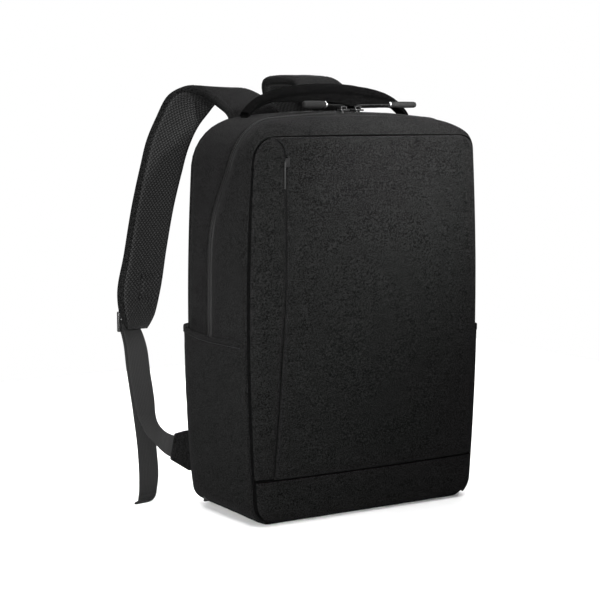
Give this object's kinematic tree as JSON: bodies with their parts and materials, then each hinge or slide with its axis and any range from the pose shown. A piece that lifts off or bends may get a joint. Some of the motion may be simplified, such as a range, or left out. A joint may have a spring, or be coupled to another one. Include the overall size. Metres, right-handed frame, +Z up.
{
  "type": "school backpack",
  "caption": "Soft backpack with clamshell zip, front pocket, side pockets, padded back, two shoulder straps on adjustable webbing and a grab handle.",
  "frame": {"origin": "middle of the flat base, on the floor it stands on", "axes": "+Z up, front of the bag faces -Y, wearer side faces +Y, +X to the right when looking at the front"},
  "size_m": [0.3988, 0.2454, 0.501],
  "materials": {
    "shell_fabric": "matte",
    "dark_fabric": "matte",
    "lining": "matte",
    "air_mesh": "matte",
    "webbing": "matte",
    "zip_tape": "matte",
    "grip_rubber": "matte",
    "stem_rubber": "matte",
    "buckle_plastic": "matte",
    "foam": "matte"
  },
  "bodies": {
    "root": {"front_panel_lower": "shell_fabric", "pocket_strip_lower": "shell_fabric", "front_band": "shell_fabric", "lower_gusset_left": "shell_fabric", "lower_gusset_right": "shell_fabric", "rear_gusset": "shell_fabric", "base_panel": "dark_fabric", "zip_tape_rear": "zip_tape", "zip_tape_lower_left": "zip_tape", "zip_tape_lower_right": "zip_tape", "back_panel": "dark_fabric", "back_pad_left": "air_mesh", "back_pad_right": "air_mesh", "lumbar_pad": "air_mesh", "yoke_panel": "dark_fabric", "laptop_sleeve": "lining", "sleeve_binding": "dark_fabric", "base_board": "foam", "pocket_lining_lower": "lining", "side_pocket_left": "shell_fabric", "side_pocket_right": "shell_fabric", "pocket_hem_left": "dark_fabric", "pocket_hem_right": "dark_fabric", "strap_root_left": "dark_fabric", "strap_root_right": "dark_fabric", "webbing_loop_left": "webbing", "webbing_loop_right": "webbing", "webbing_wing_left": "dark_fabric", "webbing_wing_right": "dark_fabric", "handle_end_left": "dark_fabric", "handle_end_right": "dark_fabric"},
    "lid": {"lid_gusset": "shell_fabric", "front_panel_upper": "shell_fabric", "pocket_strip_upper": "shell_fabric", "zip_tape_lid": "zip_tape", "pocket_lining_upper": "lining", "pocket_zip_tape": "zip_tape"},
    "handle": {"grab_handle": "dark_fabric"},
    "slider_left": {"zip_slider_left": "buckle_plastic"},
    "slider_right": {"zip_slider_right": "buckle_plastic"},
    "pull_left": {"pull_stem_left": "stem_rubber", "pull_grip_left": "grip_rubber"},
    "pull_right": {"pull_stem_right": "stem_rubber", "pull_grip_right": "grip_rubber"},
    "pocket_slider": {"pocket_zip_slider": "buckle_plastic"},
    "pocket_pull": {"pocket_zip_pull": "grip_rubber"},
    "strap_left": {"strap_pad_left": "dark_fabric", "strap_mesh_left": "air_mesh", "lock_loop_left": "webbing"},
    "strap_right": {"strap_pad_right": "dark_fabric", "strap_mesh_right": "air_mesh", "lock_loop_right": "webbing"},
    "lock_left": {"ladder_lock_left": "buckle_plastic"},
    "lock_right": {"ladder_lock_right": "buckle_plastic"},
    "tail_left": {"webbing_tail_left": "webbing", "tail_hem_left": "webbing"},
    "tail_right": {"webbing_tail_right": "webbing", "tail_hem_right": "webbing"}
  },
  "joints": [
    {"name": "lid_open", "type": "hinge", "parent": "root", "child": "lid", "pos_m": [0, -0.084, 0.212], "axis": [1, 0, 0], "range_deg": [0, 55]},
    {"name": "handle_tilt", "type": "hinge", "parent": "root", "child": "handle", "pos_m": [0, 0.016, 0.46], "axis": [1, 0, 0], "range_deg": [-25, 25], "stiffness_Nm_per_rad": 0.15},
    {"name": "slider_left_run", "type": "slide", "parent": "root", "child": "slider_left", "axis": [-0.9993, 0, -0.0386], "range_m": [0, 0.05]},
    {"name": "slider_right_run", "type": "slide", "parent": "root", "child": "slider_right", "axis": [0.9993, 0, -0.0386], "range_m": [0, 0.05]},
    {"name": "pull_left_lift", "type": "hinge", "parent": "slider_left", "child": "pull_left", "pos_m": [-0.01, -0.036, 0.45614], "axis": [-0.225, 0.9744, 0], "range_deg": [0, 80]},
    {"name": "pull_right_lift", "type": "hinge", "parent": "slider_right", "child": "pull_right", "pos_m": [0.009, -0.036, 0.45616], "axis": [-0.1045, -0.9945, 0], "range_deg": [0, 80]},
    {"name": "pocket_slider_run", "type": "slide", "parent": "lid", "child": "pocket_slider", "axis": [-0.0105, 0, -0.9999], "range_m": [0, 0.15]},
    {"name": "pocket_pull_lift", "type": "hinge", "parent": "pocket_slider", "child": "pocket_pull", "pos_m": [-0.1088, -0.0865, 0.399], "axis": [-1, 0, 0], "range_deg": [0, 80]},
    {"name": "strap_left_swing", "type": "hinge", "parent": "root", "child": "strap_left", "pos_m": [0, 0.081, 0.446], "axis": [1, 0, 0], "range_deg": [-8, 22], "stiffness_Nm_per_rad": 2, "deforming": ["webbing_loop_left"]},
    {"name": "strap_right_swing", "type": "hinge", "parent": "root", "child": "strap_right", "pos_m": [0, 0.081, 0.446], "axis": [1, 0, 0], "range_deg": [-8, 22], "stiffness_Nm_per_rad": 2, "deforming": ["webbing_loop_right"]},
    {"name": "lock_left_tilt", "type": "hinge", "parent": "strap_left", "child": "lock_left", "pos_m": [-0.193, 0.1442, 0.21775], "axis": [0.9659, 0.2588, 0], "range_deg": [0, 12], "stiffness_Nm_per_rad": 0.01},
    {"name": "lock_right_tilt", "type": "hinge", "parent": "strap_right", "child": "lock_right", "pos_m": [0.15661, 0.1513, 0.28375], "axis": [0.9744, -0.225, 0], "range_deg": [0, 12], "stiffness_Nm_per_rad": 0.01},
    {"name": "tail_left_adjust", "type": "slide", "parent": "strap_left", "child": "tail_left", "axis": [-0.0532, 0.1728, 0.9835], "range_m": [0, 0.04], "deforming": ["webbing_tail_left"]},
    {"name": "tail_right_adjust", "type": "slide", "parent": "strap_right", "child": "tail_right", "axis": [-0.0514, 0.1028, 0.9934], "range_m": [0, 0.04], "deforming": ["webbing_tail_right"]}
  ]
}
